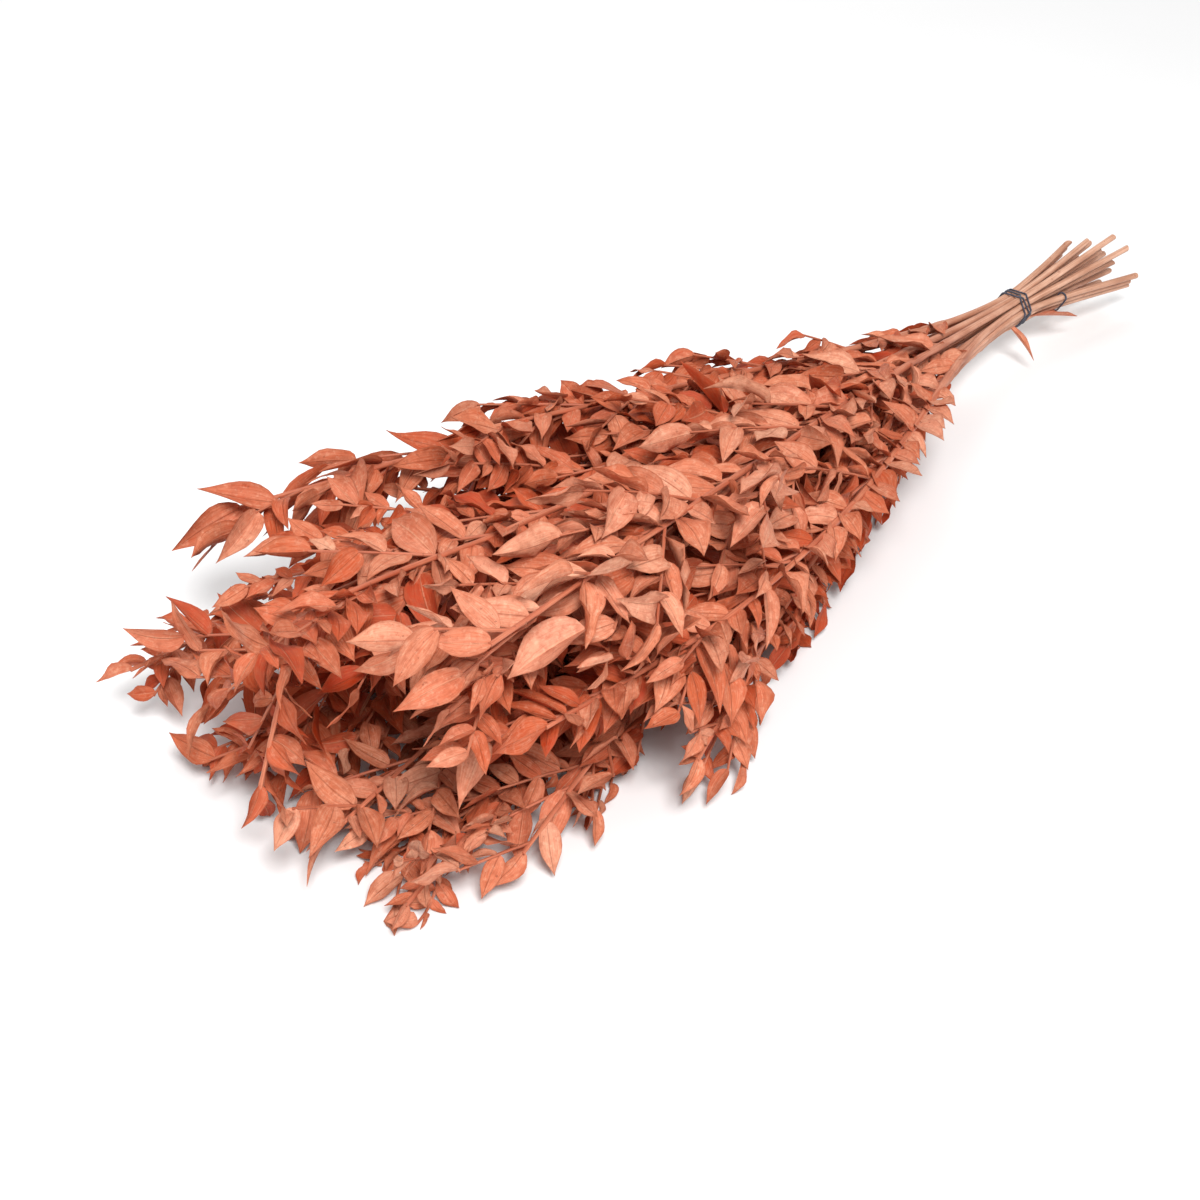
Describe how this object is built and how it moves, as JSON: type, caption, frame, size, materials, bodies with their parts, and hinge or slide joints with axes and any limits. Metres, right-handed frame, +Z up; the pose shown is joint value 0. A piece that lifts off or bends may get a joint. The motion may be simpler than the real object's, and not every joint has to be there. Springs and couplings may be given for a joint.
{
  "type": "dried ruscus bunch",
  "caption": "Tied bunch of dried, dyed ruscus lying on its side: leafy stems with pointed leaves, held near their cut ends by a dark elastic tie.",
  "frame": {"origin": "centre of the bunch's box, on the surface it lies on", "axes": "+X along the bunch from the leafy tips to the cut ends, +Z up, +Y across"},
  "size_m": [0.6866, 0.2518, 0.1442],
  "materials": {
    "ruscus": "dried, dyed salmon, matte",
    "elastic": "matte dark slate"
  },
  "bodies": {
    "root": {"stem_01": "ruscus", "stem_02": "ruscus", "stem_03": "ruscus", "stem_04": "ruscus", "stem_05": "ruscus", "stem_06": "ruscus", "stem_07": "ruscus", "stem_08": "ruscus", "stem_09": "ruscus", "stem_10": "ruscus", "stem_11": "ruscus", "stem_12": "ruscus", "stem_13": "ruscus", "stem_14": "ruscus", "stem_15": "ruscus", "stem_16": "ruscus", "stem_17": "ruscus", "stem_18": "ruscus", "stem_19": "ruscus", "tie_band": "elastic", "tie_loop": "elastic"}
  },
  "joints": []
}
